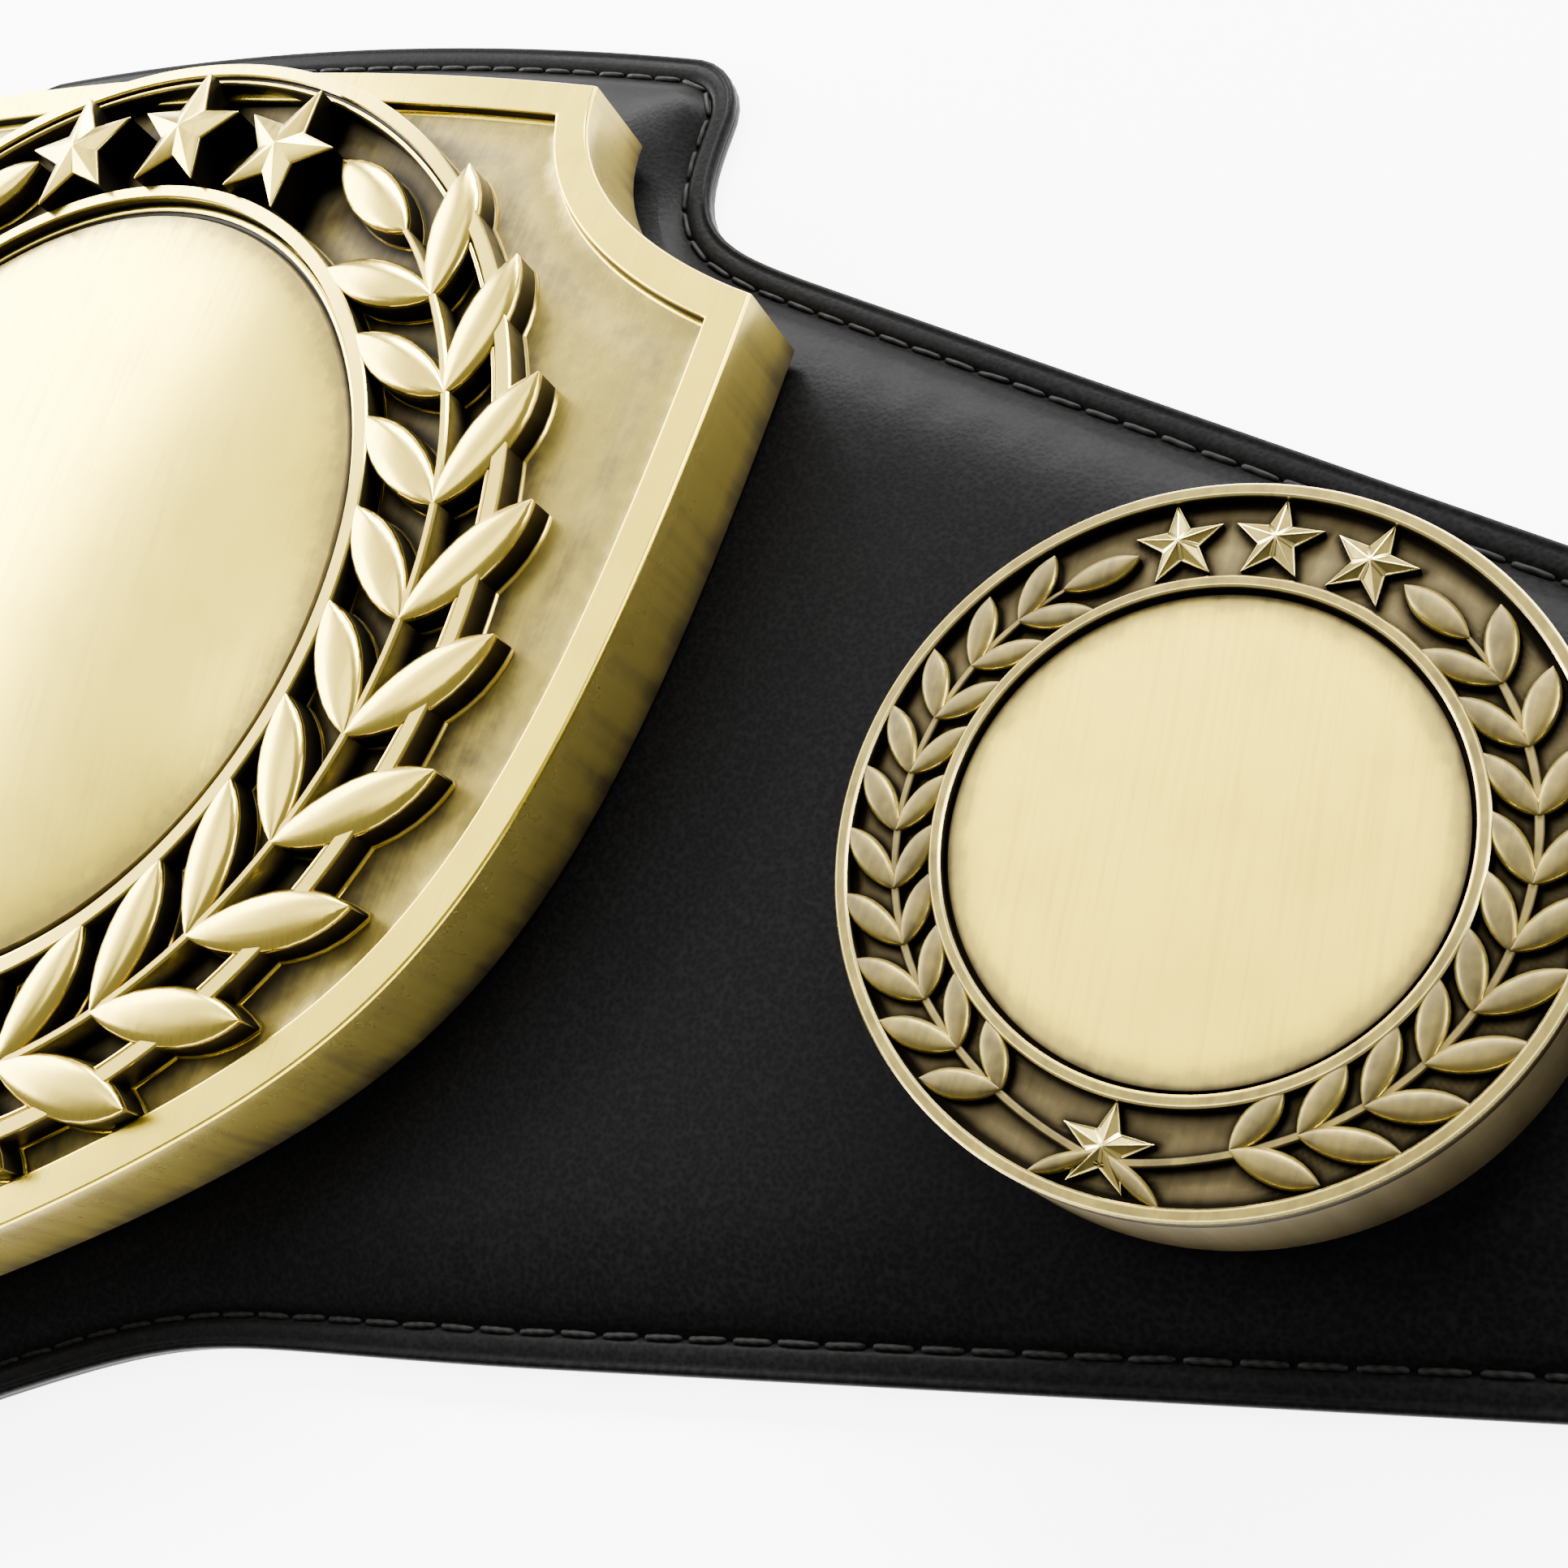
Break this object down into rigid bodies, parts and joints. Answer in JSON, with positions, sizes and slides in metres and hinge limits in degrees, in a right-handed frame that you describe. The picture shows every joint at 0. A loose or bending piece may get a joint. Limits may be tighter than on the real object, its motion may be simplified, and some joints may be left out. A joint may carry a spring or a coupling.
{
  "type": "championship title belt",
  "caption": "Championship title belt: padded black leather strap with a blank gold shield plate, laurel wreath round a dome, round side medallions and snap ends.",
  "frame": {"origin": "centre of the strap's flat underside, under the middle of the belt's box", "axes": "+X along the belt to the wearer's left as it lies face up, +Y to the belt's upper edge, +Z out of its face"},
  "size_m": [1.24, 0.2564, 0.0293],
  "materials": {
    "leather": "fine pebbled grain, satin",
    "antique_gold": "antiqued, brushed on the raised faces, dark in the recesses",
    "brushed_gold": "fine brushed, lightly scratched",
    "snap_brass": "satin"
  },
  "bodies": {
    "root": {"strap": "leather", "main_plate": "antique_gold", "main_wreath": "antique_gold", "main_dome": "brushed_gold", "left_medallion": "antique_gold", "left_medallion_disc": "brushed_gold", "right_medallion": "antique_gold", "right_medallion_disc": "brushed_gold", "left_snap_stud_1": "snap_brass", "left_snap_stud_2": "snap_brass", "left_snap_stud_3": "snap_brass", "right_snap_cap_1": "snap_brass", "right_snap_cap_2": "snap_brass", "right_snap_cap_3": "snap_brass"}
  },
  "joints": []
}
